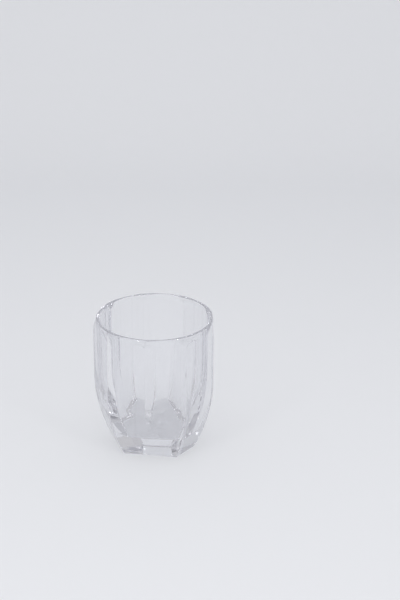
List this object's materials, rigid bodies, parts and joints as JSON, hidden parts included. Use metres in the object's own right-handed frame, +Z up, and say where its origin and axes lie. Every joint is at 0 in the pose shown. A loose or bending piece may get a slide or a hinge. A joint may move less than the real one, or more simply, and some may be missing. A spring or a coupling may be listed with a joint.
{
  "type": "faceted drinking tumbler",
  "caption": "Clear pressed-glass tumbler with upright facets under a round lip, drawing in to a smaller flat-sided foot with a thick solid base.",
  "frame": {"origin": "centre of the flat underside of the foot, on the axis of the bore", "axes": "+Z up along the bore axis towards the lip; -Y points at a ridge of the upper body, which stands over the middle of a wide side of the foot; +X to the right seen from there"},
  "size_m": [0.0884, 0.0872, 0.1025],
  "materials": {
    "clear_glass": "clear, fire-polished, with a faint cool tint in the thick base"
  },
  "bodies": {
    "root": {"glass_body": "clear_glass"}
  },
  "joints": []
}
